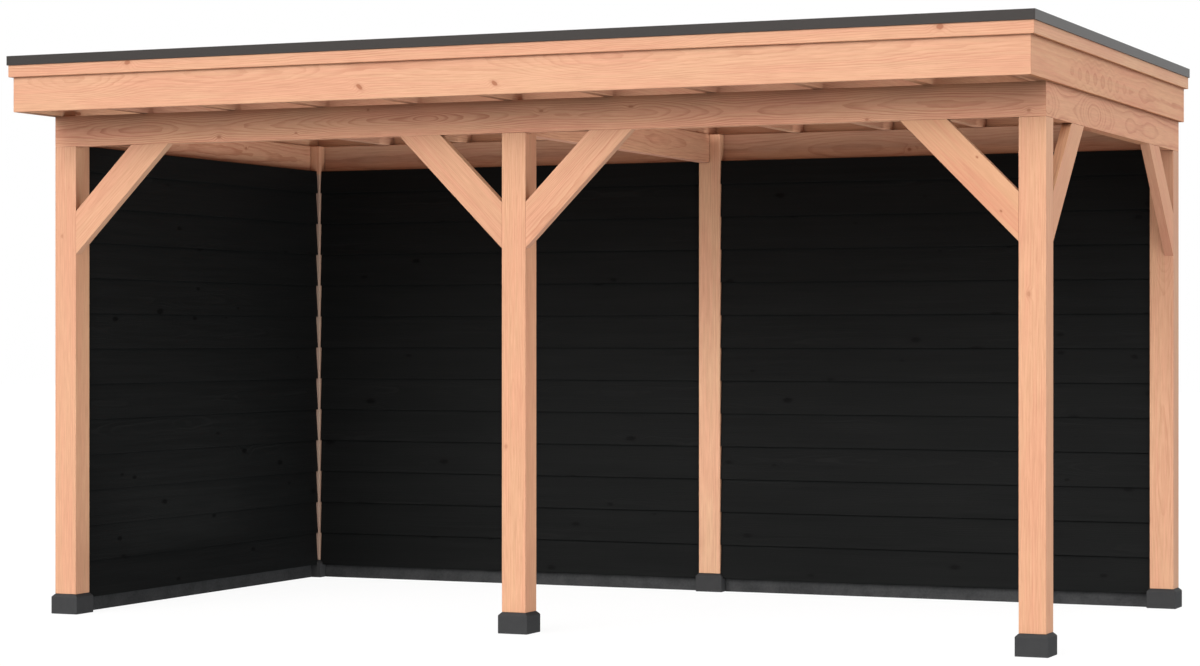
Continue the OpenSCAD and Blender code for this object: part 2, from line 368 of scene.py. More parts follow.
    # painted shade: darker in the joints and under ledges, laid from ambient occlusion
    near = n.smooth(crevice(n, gap[0]), gap[1], gap[2])
    col = n.mix(1.0, col, n.mix(near, (*gap[3], 1), (1, 1, 1, 1)), "MULTIPLY")
    # painted shade or light on whole sides that lie in more or less shade than the rest
    for way, shaded, *below in faces:
        geo = n.add("ShaderNodeNewGeometry")
        on = n.smooth(n.dot(geo.outputs["Normal"], way), 0.60, 0.90)
        if below:
            gz = n.split(geo.outputs["Position"])[2]
            on = n.math("MULTIPLY", on, n.math("SUBTRACT", 1.0, n.smooth(gz, below[0] - 0.02, below[0])))
        col = n.mix(1.0, col, n.mix(on, (1, 1, 1, 1), (*shaded, 1)), "MULTIPLY")
    if brow:
        # a shaded band along the top edge, under the eaves: from, to, colour
        geo = n.add("ShaderNodeNewGeometry")
        high = n.smooth(n.split(geo.outputs["Position"])[2], brow[0], brow[1])
        col = n.mix(1.0, col, n.mix(high, (1, 1, 1, 1), (*brow[2], 1)), "MULTIPLY")
    if eaves:
        # painted shade: undersides in the eaves, darker up against the front beam
        geo = n.add("ShaderNodeNewGeometry")
        gy = n.split(geo.outputs["Position"])[1]
        nz = n.split(geo.outputs["Normal"])[2]
        under = n.math("MULTIPLY", n.math("SUBTRACT", 1.0, n.smooth(nz, -0.8, -0.3)),
                       n.math("MULTIPLY", n.smooth(gy, Y0 - 0.36, Y0 - 0.16),
                              n.math("SUBTRACT", 1.0, n.smooth(gy, Y0 + 0.02, Y0 + 0.10))))
        col = n.mix(1.0, col, n.mix(under, (1, 1, 1, 1), (0.56, 0.48, 0.42, 1)), "MULTIPLY")
    n.link(col, bsdf.inputs["Base Color"])
    rr = n.math("ADD", rough - 0.06, n.math("MULTIPLY", fibre, 0.12))
    n.link(rr, bsdf.inputs["Roughness"])
    bsdf.inputs["Specular IOR Level"].default_value = 0.25
    h = n.math("ADD", n.math("MULTIPLY", fibre, 0.6), n.math("MULTIPLY", late, 0.5))
    if core is not None:
        h = n.math("SUBTRACT", h, n.math("MULTIPLY", core, 0.8))
    b = n.add("ShaderNodeBump")
    b.inputs["Strength"].default_value = bump
    b.inputs["Distance"].default_value = 0.0015
    n.link(h, b.inputs["Height"])
    n.link(b.outputs[0], bsdf.inputs["Normal"])


def axes_of(direction):
    """Unit vectors: along the grain, and two across it."""
    L = Vector(direction).normalized()
    up = Vector((0, 0, 1)) if abs(L.z) < 0.9 else Vector((0, -1, 0))
    B = L.cross(up).normalized()
    A = B.cross(L).normalized()
    return L, A, B


def member_wood(name, direction, origin, seed, across=None, **kw):
    """Wood for a CAD node: direction is its grain, origin the middle of its
    section at one end. across, if given, is the direction of the second axis."""
    m, n, bsdf = new_material(name)
    tc = n.add("ShaderNodeTexCoord")
    p = n.vmath("SUBTRACT", tc.outputs["Object"], tuple(origin))
    L, A, B = axes_of(direction)
    if across is not None:
        A = Vector(across).normalized()
        B = L.cross(A).normalized()
    P = n.combine(n.dot(p, tuple(L)), n.dot(p, tuple(A)), n.dot(p, tuple(B)))
    wood_body(n, bsdf, P, seed, **kw)
    return m


def piece_wood(name, **kw):
    """Wood for built boards: grain coordinates and seed are on the mesh."""
    m, n, bsdf = new_material(name)
    a = n.add("ShaderNodeAttribute", attribute_name="grain_p")
    s = n.add("ShaderNodeAttribute", attribute_name="grain_seed")
    wood_body(n, bsdf, a.outputs["Vector"], s.outputs["Fac"], **kw)
    return m


# ---------------------------------------------------------------------------
# Finishing CAD nodes: softened edges and a material, mesh untouched
# ---------------------------------------------------------------------------


def finish_node(name, material, edge=0.0015, segments=2):
    o = NODES[name]
    o.data.materials.clear()
    o.data.materials.append(material)
    w = o.modifiers.new("weld", "WELD")
    w.merge_threshold = 0.00005
    d = o.modifiers.new("plane", "DECIMATE")
    d.decimate_type = "DISSOLVE"
    d.angle_limit = math.radians(0.5)
    if edge:
        b = o.modifiers.new("arris", "BEVEL")
        b.width = edge
        b.segments = segments
        b.limit_method = "ANGLE"
        b.angle_limit = math.radians(30)
        b.use_clamp_overlap = True
        b.harden_normals = False
    return o


# painted shade: a board edge standing proud gets a darker band painted under it, where its shadow falls
LEDGE_SHADE = (0.021, 0.34, 0.98, (0.33, 0.22, 0.16))

# posts
POST_EYES = ((), (), (), (), (), ((1.72, 0.16, -0.030), (0.55, 0.30, -0.012)))
# painted shade and light on some sides of the posts: way, colour, up to a height
POST_FACES = ((((1, 0, 0), (0.93, 0.97, 0.95)),), (), (), (((0, -1, 0), (0.72, 0.97, 1.24), BEAM_Z0), ((1, 0, 0), (0.74, 0.93, 1.12), BEAM_Z0)), (),
              (((1, 0, 0), (0.87, 0.90, 0.92)),))
# faint knots: height, place across the face, depth, radius
POST_KNOTS = (((1.86, -0.020, -0.06, 0.0060),), ((0.859, -0.0387, -0.06, 0.0075),), ((1.544, -0.0158, -0.06, 0.0080),),
              (), (), ())
POST_TINT = ((1, 0.99, 0.98), (1, 0.985, 0.955), (0.995, 0.975, 0.945), (0.98, 0.98, 0.98), (1.04, 1.12, 1.13),
             (1, 1.01, 1))
for i, nm in enumerate(("post_front_left", "post_front_mid", "post_front_right",
                        "post_back_left", "post_back_mid", "post_back_right")):
    lo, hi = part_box(nm)
    c = (lo + hi) / 2
    m = member_wood(nm + "_wood", (0, 0, 1), (c.x, c.y, lo.z), 1.0 + i, across=(1, 0, 0),
                    pith=(0, (-0.13, 0.15, -0.12, 0.10, 0.14, 0.01)[i], (0.16, 0.12, 0.15, 0.14, 0.11, 0.02)[i]),
                    ring=0.0065, wander=0.02, ripple=0.003, contrast=(0.24, 0.24, 0.22, 0.24, 0.26, 0.34)[i],
                    streaks=0.075, eyes=POST_EYES[i], tint=POST_TINT[i], faces=POST_FACES[i],
                    knots=[(z - lo.z, v, w, r) for z, v, w, r in POST_KNOTS[i]], knot_mix=0.34)
    finish_node(nm, m, 0.002)

# beams
m = member_wood("beam_front_wood", (1, 0, 0), (X0, Y0 + 0.03, (BEAM_Z0 + BEAM_Z1) / 2), 21.0, across=(0, 0, 1),
                pith=(0, -0.006, -0.052), ring=0.0054, wander=0.040, ripple=0.010, contrast=0.72, streaks=0.07, patch=1.3,
                knot_mix=0.62,
                tint=(1.045, 1.02, 1.02), brow=(BEAM_Z1 - 0.034, BEAM_Z1, (0.78, 0.76, 0.72)),
                eyes=((0.48, 0.30, 0.022), (1.98, 0.62, 0.044), (2.06, 0.09, 0.010), (3.10, 0.42, 0.030),
                      (3.85, 0.22, 0.012), (4.60, 0.40, 0.024)),
                knots=[(0.935, -0.051, 0.03, 0.008), (1.358, -0.044, 0.03, 0.005), (1.745, 0.053, 0.03, 0.005),
                       (2.639, 0.020, 0.03, 0.0055, 2.2), (3.085, 0.026, 0.03, 0.0055, 2.2), (4.202, -0.066, 0.03, 0.006),
                       (4.925, -0.048, 0.03, 0.006)])
finish_node("beam_front", m)
m = member_wood("beam_back_wood", (1, 0, 0), (X0, Y1 - 0.03, (BEAM_Z0 + BEAM_Z1) / 2), 22.0, across=(0, 0, 1),
                pith=(0, -0.02, -0.08), ring=0.009, wander=0.06, ripple=0.012, contrast=0.46, streaks=0.08,
                brow=(2.338, 2.372, (0.70, 0.695, 0.72)), eyes=((1.10, 0.30, 0.020), (3.30, 0.35, 0.024)),
                knots=[(1.4, 0.02, 0.03, 0.008), (3.6, -0.03, 0.03, 0.008), (2.2, 0.01, -0.03, 0.008)])
finish_node("beam_back", m)
m = member_wood("beam_left_wood", (0, 1, 0), (X0 + 0.03, Y0, (BEAM_Z0 + BEAM_Z1) / 2), 23.0, across=(0, 0, 1),
                pith=(0, 0.0, -0.07), ring=0.009, wander=0.05, ripple=0.012, contrast=0.70, streaks=0.08,
                eyes=((0.80, 0.25, 0.024),),
                knots=[(1.737, 0.023, 0.03, 0.007), (0.7, -0.02, -0.03, 0.008)])
finish_node("beam_left", m)
m = member_wood("beam_right_wood", (0, 1, 0), (X1 - 0.03, Y0, (BEAM_Z0 + BEAM_Z1) / 2), 24.0, across=(0, 0, 1),
                pith=(0, -0.016, -0.090), ring=0.0128, wander=0.020, ripple=0.008, contrast=0.66, streaks=0.06,
                # painted shade on the underside, and under the fascia ledge
                tint=(0.995, 0.915, 0.86), gap=LEDGE_SHADE, faces=(((0, 0, -1), (0.80, 0.76, 0.72)),),
                eyes=((0.84, 0.20, 0.077), (0.04, 0.12, 0.045), (1.12, 0.05, 0.012), (1.52, 0.10, 0.008), (1.95, 0.20, 0.009)))
finish_node("beam_right", m)
lo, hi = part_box("beam_cross")
m = member_wood("beam_cross_wood", (0, 1, 0), ((lo.x + hi.x) / 2, lo.y, (lo.z + hi.z) / 2), 25.0, across=(0, 0, 1),
                pith=(0, 0.01, -0.07), ring=0.009, wander=0.06, ripple=0.014, contrast=0.65, streaks=0.08,
                # painted shade on the underside
                faces=(((0, 0, -1), (0.82, 0.79, 0.86)),),
                knots=[(0.9, 0.02, 0.03, 0.006)])
finish_node("beam_cross", m)

# knee braces
R2 = math.sqrt(0.5)
for i, (nm, d, kn) in enumerate((
        ("brace_front_left", (R2, 0, R2), ()),
        ("brace_mid_left", (-R2, 0, R2), ()),
        ("brace_mid_right", (R2, 0, R2), ()),
        ("brace_front_right", (-R2, 0, R2), ((4.697, 2.133), (4.803, 1.900))),
        ("brace_side_front", (0, R2, R2), ()), ("brace_side_back", (0, -R2, R2), ()))):
    lo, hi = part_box(nm)
    c = (lo + hi) / 2
    L, A, B = axes_of(d)
    spots = []
    for kx, kz in kn:
        p = Vector((X0 + kx, lo.y, kz)) - c
        spots.append((p.dot(L), p.dot(A), p.dot(B), 0.0045))
    m = member_wood(nm + "_wood", d, c, 31.0 + i, pith=(0, (0.10, -0.09, 0.02, 0.11, -0.10, 0.08)[i], 0.12),
                    ring=(0.006, 0.006, 0.0045, 0.007, 0.006, 0.006)[i], wander=0.03, ripple=0.005,
                    contrast=(0.28, 0.22, 0.42, 0.16, 0.26, 0.30)[i],
                    streaks=(0.065, 0.060, 0.070, 0.045, 0.060, 0.060)[i], patch=(1.0, 1.0, 1.0, 1.8, 1.0, 1.0)[i],
                    tint=((1.0, 0.99, 0.975), (0.95, 0.925, 0.90), (1.0, 0.99, 0.975), (0.965, 0.91, 0.85),
                          (0.955, 0.895, 0.85), (0.955, 0.895, 0.85))[i],
                    # painted shade and light on one side of each brace
                    faces=((((R2, 0, -R2), (0.75, 0.79, 0.81)),), (((R2, 0, R2), (1.08, 1.25, 1.30)),),
                           (((R2, 0, -R2), (0.76, 0.78, 0.81)),), (((R2, 0, R2), (1.02, 1.12, 1.26)),),
                           (((0, -R2, R2), (1.40, 1.58, 1.58)),), (((0, -R2, -R2), (0.90, 0.88, 0.93)),))[i],
                    knots=spots)
    finish_node(nm, m)

# fascia boards
# in the entries below, faces paint shade on undersides and, on upper_front, paint light; the ledge setting paints
# shade under a proud board
FASCIA = {
    # the grain runs plain and fine along the front and the back
    "lower_front": dict(pith=(0, 0.02, -0.15), ring=0.0046, wander=0.05, ripple=0.008, contrast=0.34, streaks=0.062,
                        eyes=((0.35, 0.30, 0.030), (3.10, 0.40, 0.030)),
                        knots=[(1.894, -0.076, 0.011, 0.0095, 2.0, 38.0), (2.579, -0.083, 0.011, 0.0090, 1.9, 30.0)]),
    "lower_back": dict(pith=(0, 0.02, -0.15), ring=0.0062, wander=0.05, ripple=0.006, contrast=0.32, streaks=0.060,
                       tint=(1.0, 1.06, 1.06),
                       eyes=((1.40, 0.40, -0.04),), knots=[(3.3, -0.03, 0.011, 0.008), (1.2, 0.04, -0.011, 0.007)]),
    "lower_left": dict(pith=(0, -0.05, 0.06), ring=0.0080, wander=0.05, ripple=0.010, contrast=0.48, streaks=0.060,
                       eyes=((0.9, 0.25, -0.03), (2.1, 0.20, -0.02)), knots=[(1.5, -0.04, -0.011, 0.007)]),
    "lower_right": dict(pith=(0, -0.067, -0.049), ring=0.020, wander=0.012, ripple=0.008, contrast=0.56, streaks=0.055, onset=0.30,
                        patch=1.4, tint=(1.0, 0.935, 0.86), gap=LEDGE_SHADE, faces=(((0, 0, -1), (0.76, 0.64, 0.51)),),
                        chain=(0.66, 1.66, 1.361, 0.138, 0.0065), eyes=((2.04, 0.075, 0.013), (1.36, 0.05, 0.004))),
    "upper_front": dict(pith=(0, 0.05, -0.13), ring=0.0050, wander=0.06, ripple=0.010, contrast=0.42, streaks=0.062,
                        tint=(1.0, 0.985, 0.985), gap=(0.016, 0.10, 0.70, (0.72, 0.66, 0.62)), faces=(((0, 0, -1), (1.40, 1.42, 1.34)),), eyes=((3.30, 0.35, 0.05),),
                        knots=[(0.675, -0.003, 0.009, 0.0120), (4.676, -0.004, 0.009, 0.0130)]),
    "upper_back": dict(pith=(0, 0.05, -0.13), ring=0.0060, wander=0.04, ripple=0.005, contrast=0.30, streaks=0.060,
                       knots=[(2.2, 0.01, -0.009, 0.008)]),
    "upper_left": dict(pith=(0, 0.04, 0.12), ring=0.0062, wander=0.03, ripple=0.004, contrast=0.26, streaks=0.055),
    "upper_right": dict(pith=(0, 0.06, -0.16), ring=0.0052, wander=0.02, ripple=0.003, contrast=0.26, streaks=0.050,
                        tint=(1.0, 1.02, 1.0), gap=LEDGE_SHADE, faces=(((0, 0, -1), (0.87, 0.75, 0.60)),)),
}
for lvl, seed0 in (("lower", 41.0), ("upper", 51.0)):
    for i, (side, d) in enumerate((("front", (1, 0, 0)), ("back", (1, 0, 0)), ("left", (0, 1, 0)), ("right", (0, 1, 0)))):
        nm = f"fascia_{lvl}_{side}"
        lo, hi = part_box(nm)
        c = (lo + hi) / 2
        org = Vector((lo.x, c.y, c.z)) if d[0] else Vector((c.x, lo.y, c.z))
        m = member_wood(nm + "_wood", d, org, seed0 + i, across=(0, 0, 1), **FASCIA[f"{lvl}_{side}"])
        finish_node(nm, m, 0.002)

# ---------------------------------------------------------------------------
# Plain finishes
# ---------------------------------------------------------------------------


def speckled(name, base, dark, rough, spec, scale=60.0, bump=0.1, amount=0.5):
    m, n, bsdf = new_material(name)
    tc = n.add("ShaderNodeTexCoord")
    P = tc.outputs["Object"]
    a = n.noise(P, scale, 4.0, 0.6)
    b = n.noise(P, scale * 0.12, 3.0, 0.55)
    f = n.math("ADD", n.math("MULTIPLY", n.smooth(a, 0.35, 0.7), 0.5 * amount),
               n.math("MULTIPLY", n.smooth(b, 0.35, 0.68), 0.5 * amount))
    n.link(n.mix(f, base, dark), bsdf.inputs["Base Color"])
    n.link(n.remap(a, 0.0, 1.0, rough - 0.08, rough + 0.08), bsdf.inputs["Roughness"])
    bsdf.inputs["Specular IOR Level"].default_value = spec
    bp = n.add("ShaderNodeBump")
    bp.inputs["Strength"].default_value = bump
    bp.inputs["Distance"].default_value = 0.001
    n.link(a, bp.inputs["Height"])
    n.link(bp.outputs[0], bsdf.inputs["Normal"])
    return m


foot_mat = speckled("foot_grey_finish", (0.0340, 0.0340, 0.0347), (0.0252, 0.0252, 0.0259), 0.70, 0.08, 220.0, 0.12)
plinth_mat = speckled("plinth_finish", (0.0275, 0.0277, 0.0280), (0.0138, 0.0140, 0.0143), 0.78, 0.12, 90.0, 0.35, 1.0)
# the back plinths take a lighter copy of the same finish: painted light
plinth_back_painted_lighter = speckled("plinth_finish_back_painted_lighter", (0.0395, 0.0397, 0.0402), (0.0198, 0.0201, 0.0206), 0.78, 0.12, 90.0, 0.35, 1.0)
# the long trims at front and back take a darker, browner copy of the finish; the short side trims a lighter copy, a
# painted sheen
trim_long = speckled("trim_finish_long", (0.0250, 0.0205, 0.0182), (0.0200, 0.0166, 0.0150), 0.55, 0.20, 400.0, 0.05)
trim_short_painted_sheen = speckled("trim_finish_short_painted_sheen", (0.0436, 0.0392, 0.0360), (0.0368, 0.0334, 0.0306), 0.48, 0.34, 400.0, 0.05)
skin_mat = speckled("roof_skin_finish", (0.028, 0.028, 0.029), (0.020, 0.020, 0.021), 0.7, 0.3, 30.0, 0.2)

for nm in NODES:
    if nm.startswith("foot_"):
        finish_node(nm, foot_mat, 0.0025, 3)
    elif nm.startswith("plinth_"):
        finish_node(nm, plinth_mat if nm == "plinth_left" else plinth_back_painted_lighter, 0.003)
    elif nm in ("roof_trim_front", "roof_trim_back"):
        finish_node(nm, trim_long, 0.0008)
    elif nm.startswith("roof_trim_"):
        finish_node(nm, trim_short_painted_sheen, 0.0008)

# ---------------------------------------------------------------------------
# Boards built true to scale: walls, joists, roof boards and roof skin
# ---------------------------------------------------------------------------


class Boards:
    """Collects prisms into one mesh, with grain coordinates on each."""

    def __init__(self):
        self.v, self.f, self.p, self.s = [], [], [], []

    def prism(self, section, origin, along, across, up, length, seed, edge=0.0012, segments=2,
              pith=None, shift=0.0, cut=None):
        """section is a list of (a, b) points on the axes across and up."""
        L, A, B = Vector(along), Vector(across), Vector(up)
        O = Vector(origin)
        bm = bmesh.new()
        ring0 = [bm.verts.new(O + A * a + B * b) for a, b in section]
        ring1 = [bm.verts.new(O + A * a + B * b + L * length) for a, b in section]
        if cut:
            for v, w in zip(ring0, ring1):
                cut(v, w)
        n = len(section)
        bm.faces.new(ring0)
        bm.faces.new(list(reversed(ring1)))
        for i in range(n):
            j = (i + 1) % n
            bm.faces.new((ring0[j], ring0[i], ring1[i], ring1[j]))
        bmesh.ops.recalc_face_normals(bm, faces=bm.faces[:])
        if edge:
            es = [e for e in bm.edges if e.calc_face_angle(0.0) > 0.35 and
                  (e.verts[0].co - e.verts[1].co).length > 4 * edge]
            bmesh.ops.bevel(bm, geom=es, offset=edge, segments=segments, profile=0.5, affect="EDGES",
                            clamp_overlap=True)
        base = len(self.v)
        bm.verts.index_update()
        pv, pw = pith if pith else (0.0, 0.0)
        for v in bm.verts:
            d = v.co - O
            self.v.append(v.co[:])
            self.p.extend((d.dot(L) + shift, d.dot(A) + pv, d.dot(B) + pw))
            self.s.append(seed)
        for f in bm.faces:
            self.f.append([base + v.index for v in f.verts])
        bm.free()

    def make(self, name, material):
        me = bpy.data.meshes.new(name)
        me.from_pydata(self.v, [], self.f)
        me.update()
        a = me.attributes.new("grain_p", "FLOAT_VECTOR", "POINT")
        a.data.foreach_set("vector", self.p)
        b = me.attributes.new("grain_seed", "FLOAT", "POINT")
        b.data.foreach_set("value", self.s)
        me.materials.append(material)
        o = bpy.data.objects.new(name, me)
        bpy.context.scene.collection.objects.link(o)
        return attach(o, "root")


RNG = random.Random(7)

# --- joists -----------------------------------------------------------------
lo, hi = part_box("roof_joists")
JT = 0.045
centres = [X0 + 0.0225 + 0.4895 * k for k in range(6)] + [X0 + 2.470 + 0.5015 * k for k in range(1, 6)]
JOIST_TINT = ((1.13, 1.26, 1.27), (0.90, 0.91, 0.98), (0.92, 0.95, 0.97), (1.0, 1.03, 1.07), (1.14, 1.19, 1.26),
              (0.97, 1.0, 1.02), (0.92, 0.93, 0.96), (0.88, 0.89, 0.93), (0.97, 0.98, 1.01), (1.14, 1.19, 1.19),
              (1.0, 1.0, 1.0))
for i, cx in enumerate(centres):
    joist_mat = piece_wood(f"joist_wood_{i + 1:02d}", pith=(0, 0, 0), ring=0.0075, wander=0.05, ripple=0.008,
                           contrast=0.45, streaks=0.075, knot_field=0.22, tint=JOIST_TINT[i],
                           gap=(0.032, 0.10, 0.75, (0.56, 0.49, 0.46)), eaves=True)
    b = Boards()
    h = hi.z - lo.z
    b.prism([(-JT / 2, 0), (JT / 2, 0), (JT / 2, h), (-JT / 2, h)], (cx, lo.y, lo.z), (0, 1, 0), (1, 0, 0), (0, 0, 1),
            hi.y - lo.y, 3.0 + i * 1.7, 0.0025, 2, pith=(RNG.uniform(-0.06, 0.06), RNG.uniform(-0.14, 0.05)),
            shift=RNG.uniform(0, 9))
    o = b.make(f"joist_{i + 1:02d}", joist_mat)
    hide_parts("roof_joists")

# --- roof boards ------------------------------------------------------------
lo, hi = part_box("roof_deck")
deck_mat = piece_wood("roof_board_wood", pith=(0, 0, 0), ring=0.006, wander=0.05, ripple=0.008,
                      contrast=0.42, streaks=0.07, knot_field=0.8, tint=(1.10, 1.17, 1.22))
b = Boards()
count = 30
pitch = (hi.y - lo.y) / count
t = hi.z - lo.z
for k in range(count):
    y = lo.y + k * pitch
    v = 0.0035                           # V-joint seen from below
    sec = [(0.0004, v), (v, 0), (pitch - v, 0), (pitch - 0.0004, v), (pitch - 0.0004, t), (0.0004, t)]
    # boards butt over a joist, staggered from row to row
    stops = [lo.x, centres[(3, 7, 5, 8, 2)[k % 5]], hi.x]
    for j in range(2):
        a0, a1 = stops[j] + (0.0006 if j else 0.0), stops[j + 1] - (0.0 if j else 0.0006)
        b.prism(sec, (a0, y, lo.z), (1, 0, 0), (0, 1, 0), (0, 0, 1), a1 - a0, 5.0 + k * 1.3 + j * 0.7, 0.0,
                pith=(RNG.uniform(-0.05, 0.05) - pitch / 2, RNG.choice((-1, 1)) * RNG.uniform(0.03, 0.10)),
                shift=RNG.uniform(0, 9))
o = b.make("roof_boards", deck_mat)
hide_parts("roof_deck")

# --- roof skin: one sheet turned up at the edges, with lapped seams -----------
lo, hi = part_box("roof_membrane")


def roof_skin():
    r = 0.022
    inner = 0.003
    prof = [(0.0, hi.z)]
    prof += [(inner, hi.z - 0.0005)]
    for k in range(7):
        a = math.pi / 2 * k / 6
        prof.append((inner + r - r * math.cos(a), lo.z + inner + r - r * math.sin(a)))
    rings = []
    bm = bmesh.new()
    for d, z in prof:
        rings.append([bm.verts.new((x, y, z)) for x, y in (
            (lo.x + d, lo.y + d), (hi.x - d, lo.y + d), (hi.x - d, hi.y - d), (lo.x + d, hi.y - d))])
    for a, c in zip(rings, rings[1:]):
        for i in range(4):
            j = (i + 1) % 4
            bm.faces.new((a[i], a[j], c[j], c[i]))
    # floor of the tray
    x0, x1 = rings[-1][0].co.x, rings[-1][1].co.x
    y0, y1 = rings[-1][0].co.y, rings[-1][2].co.y
    z = rings[-1][0].co.z
    bm.faces.new(list(rings[-1]))
    # outside and underside, so that the sheet has its real thickness
    out = [bm.verts.new((x, y, lo.z)) for x, y in ((lo.x, lo.y), (hi.x, lo.y), (hi.x, hi.y), (lo.x, hi.y))]
    for i in range(4):
        j = (i + 1) % 4
        bm.faces.new((rings[0][j], rings[0][i], out[i], out[j]))
    bm.faces.new(list(reversed(out)))
    bmesh.ops.recalc_face_normals(bm, faces=bm.faces[:])
    me = bpy.data.meshes.new("roof_sheet")
    bm.to_mesh(me)
    bm.free()
    me.materials.append(skin_mat)
    o = bpy.data.objects.new("roof_sheet", me)
    bpy.context.scene.collection.objects.link(o)
    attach(o, "root")
    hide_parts("roof_membrane")
    # lapped seams
    b = Boards()
    for k in (1, 2, 3):
        x = lo.x + (hi.x - lo.x) * k / 4
        w, h = 0.035, 0.0016
        b.prism([(-w, 0), (w, 0), (w - 0.004, h), (-w + 0.001, h)], (x, y0, z), (0, 1, 0), (1, 0, 0), (0, 0, 1),
                y1 - y0, float(k), 0.0)
    o = b.make("roof_sheet_seams", skin_mat)


roof_skin()

# --- weatherboards ------------------------------------------------------------
PITCH_Z = 0.1756
LAP0 = 0.075
RECESS, STEP = 0.0090, 0.0126        # behind the post face: thick lower edge, and more at the thin upper edge
black_mat = None


def wall_boards(node, origin, along, inward, length, start, rng):
    """origin: a corner on the ground at the inner post face; inward points
    from there into the wall, along runs the length of the bay."""
    I = Vector(inward)
    thick = POST
    for side in ("inner", "outer"):
        b = Boards()
        top = 2.308 if side == "inner" else 2.300
        k = 0
        zb = 0.072
        while zb < top - 0.001:
            zt = min(LAP0 + PITCH_Z * (k + 1), top)
            lowest = LAP0 + PITCH_Z * k

            def face(z):
                return RECESS + STEP / PITCH_Z * (z - lowest)

            over = min(zt + 0.010, top)
            sec = [(face(lowest), zb), (face(over), over), (0.0335, over)]
            if k:
                sec += [(0.0335, zb + 0.0125), (0.0215, zb + 0.0125), (0.0215, zb)]
            else:
                sec += [(0.0335, zb)]
            if side == "outer":
                sec = [(thick - a, z) for a, z in sec]
            wob = rng.uniform(-0.0003, 0.0003)
            sec = [(a + wob, z) for a, z in sec]
            b.prism(sec, Vector(origin), along, inward, (0, 0, 1), length, start + k * 1.37 + (40 if side == "outer" else 0),
                    0.0016, 2, pith=(rng.uniform(0.02, 0.08), -(zb + rng.uniform(-0.05, 0.22))), shift=rng.uniform(0, 20))
            k += 1
            zb = LAP0 + PITCH_Z * k + 0.0012
        o = b.make(f"{node}_boards_{side}", black_mat)
        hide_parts(node)
    # the frame between the two skins
    b = Boards()
    b.prism([(0.0435, 0.070), (0.0765, 0.070), (0.0765, 2.299), (0.0435, 2.299)], Vector(origin), along, inward,
            (0, 0, 1), length, start + 90, 0.001, 1)
    for zc in (0.070, 2.240):
        for a0, a1 in ((0.0337, 0.0435), (0.0765, thick - 0.0337)):
            b.prism([(a0, zc + 0.002), (a1, zc + 0.002), (a1, zc + 0.058), (a0, zc + 0.058)], Vector(origin), along,
                    inward, (0, 0, 1), length, start + 93, 0.001, 1)
    o = b.make(f"{node}_frame", black_mat)
    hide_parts(node)


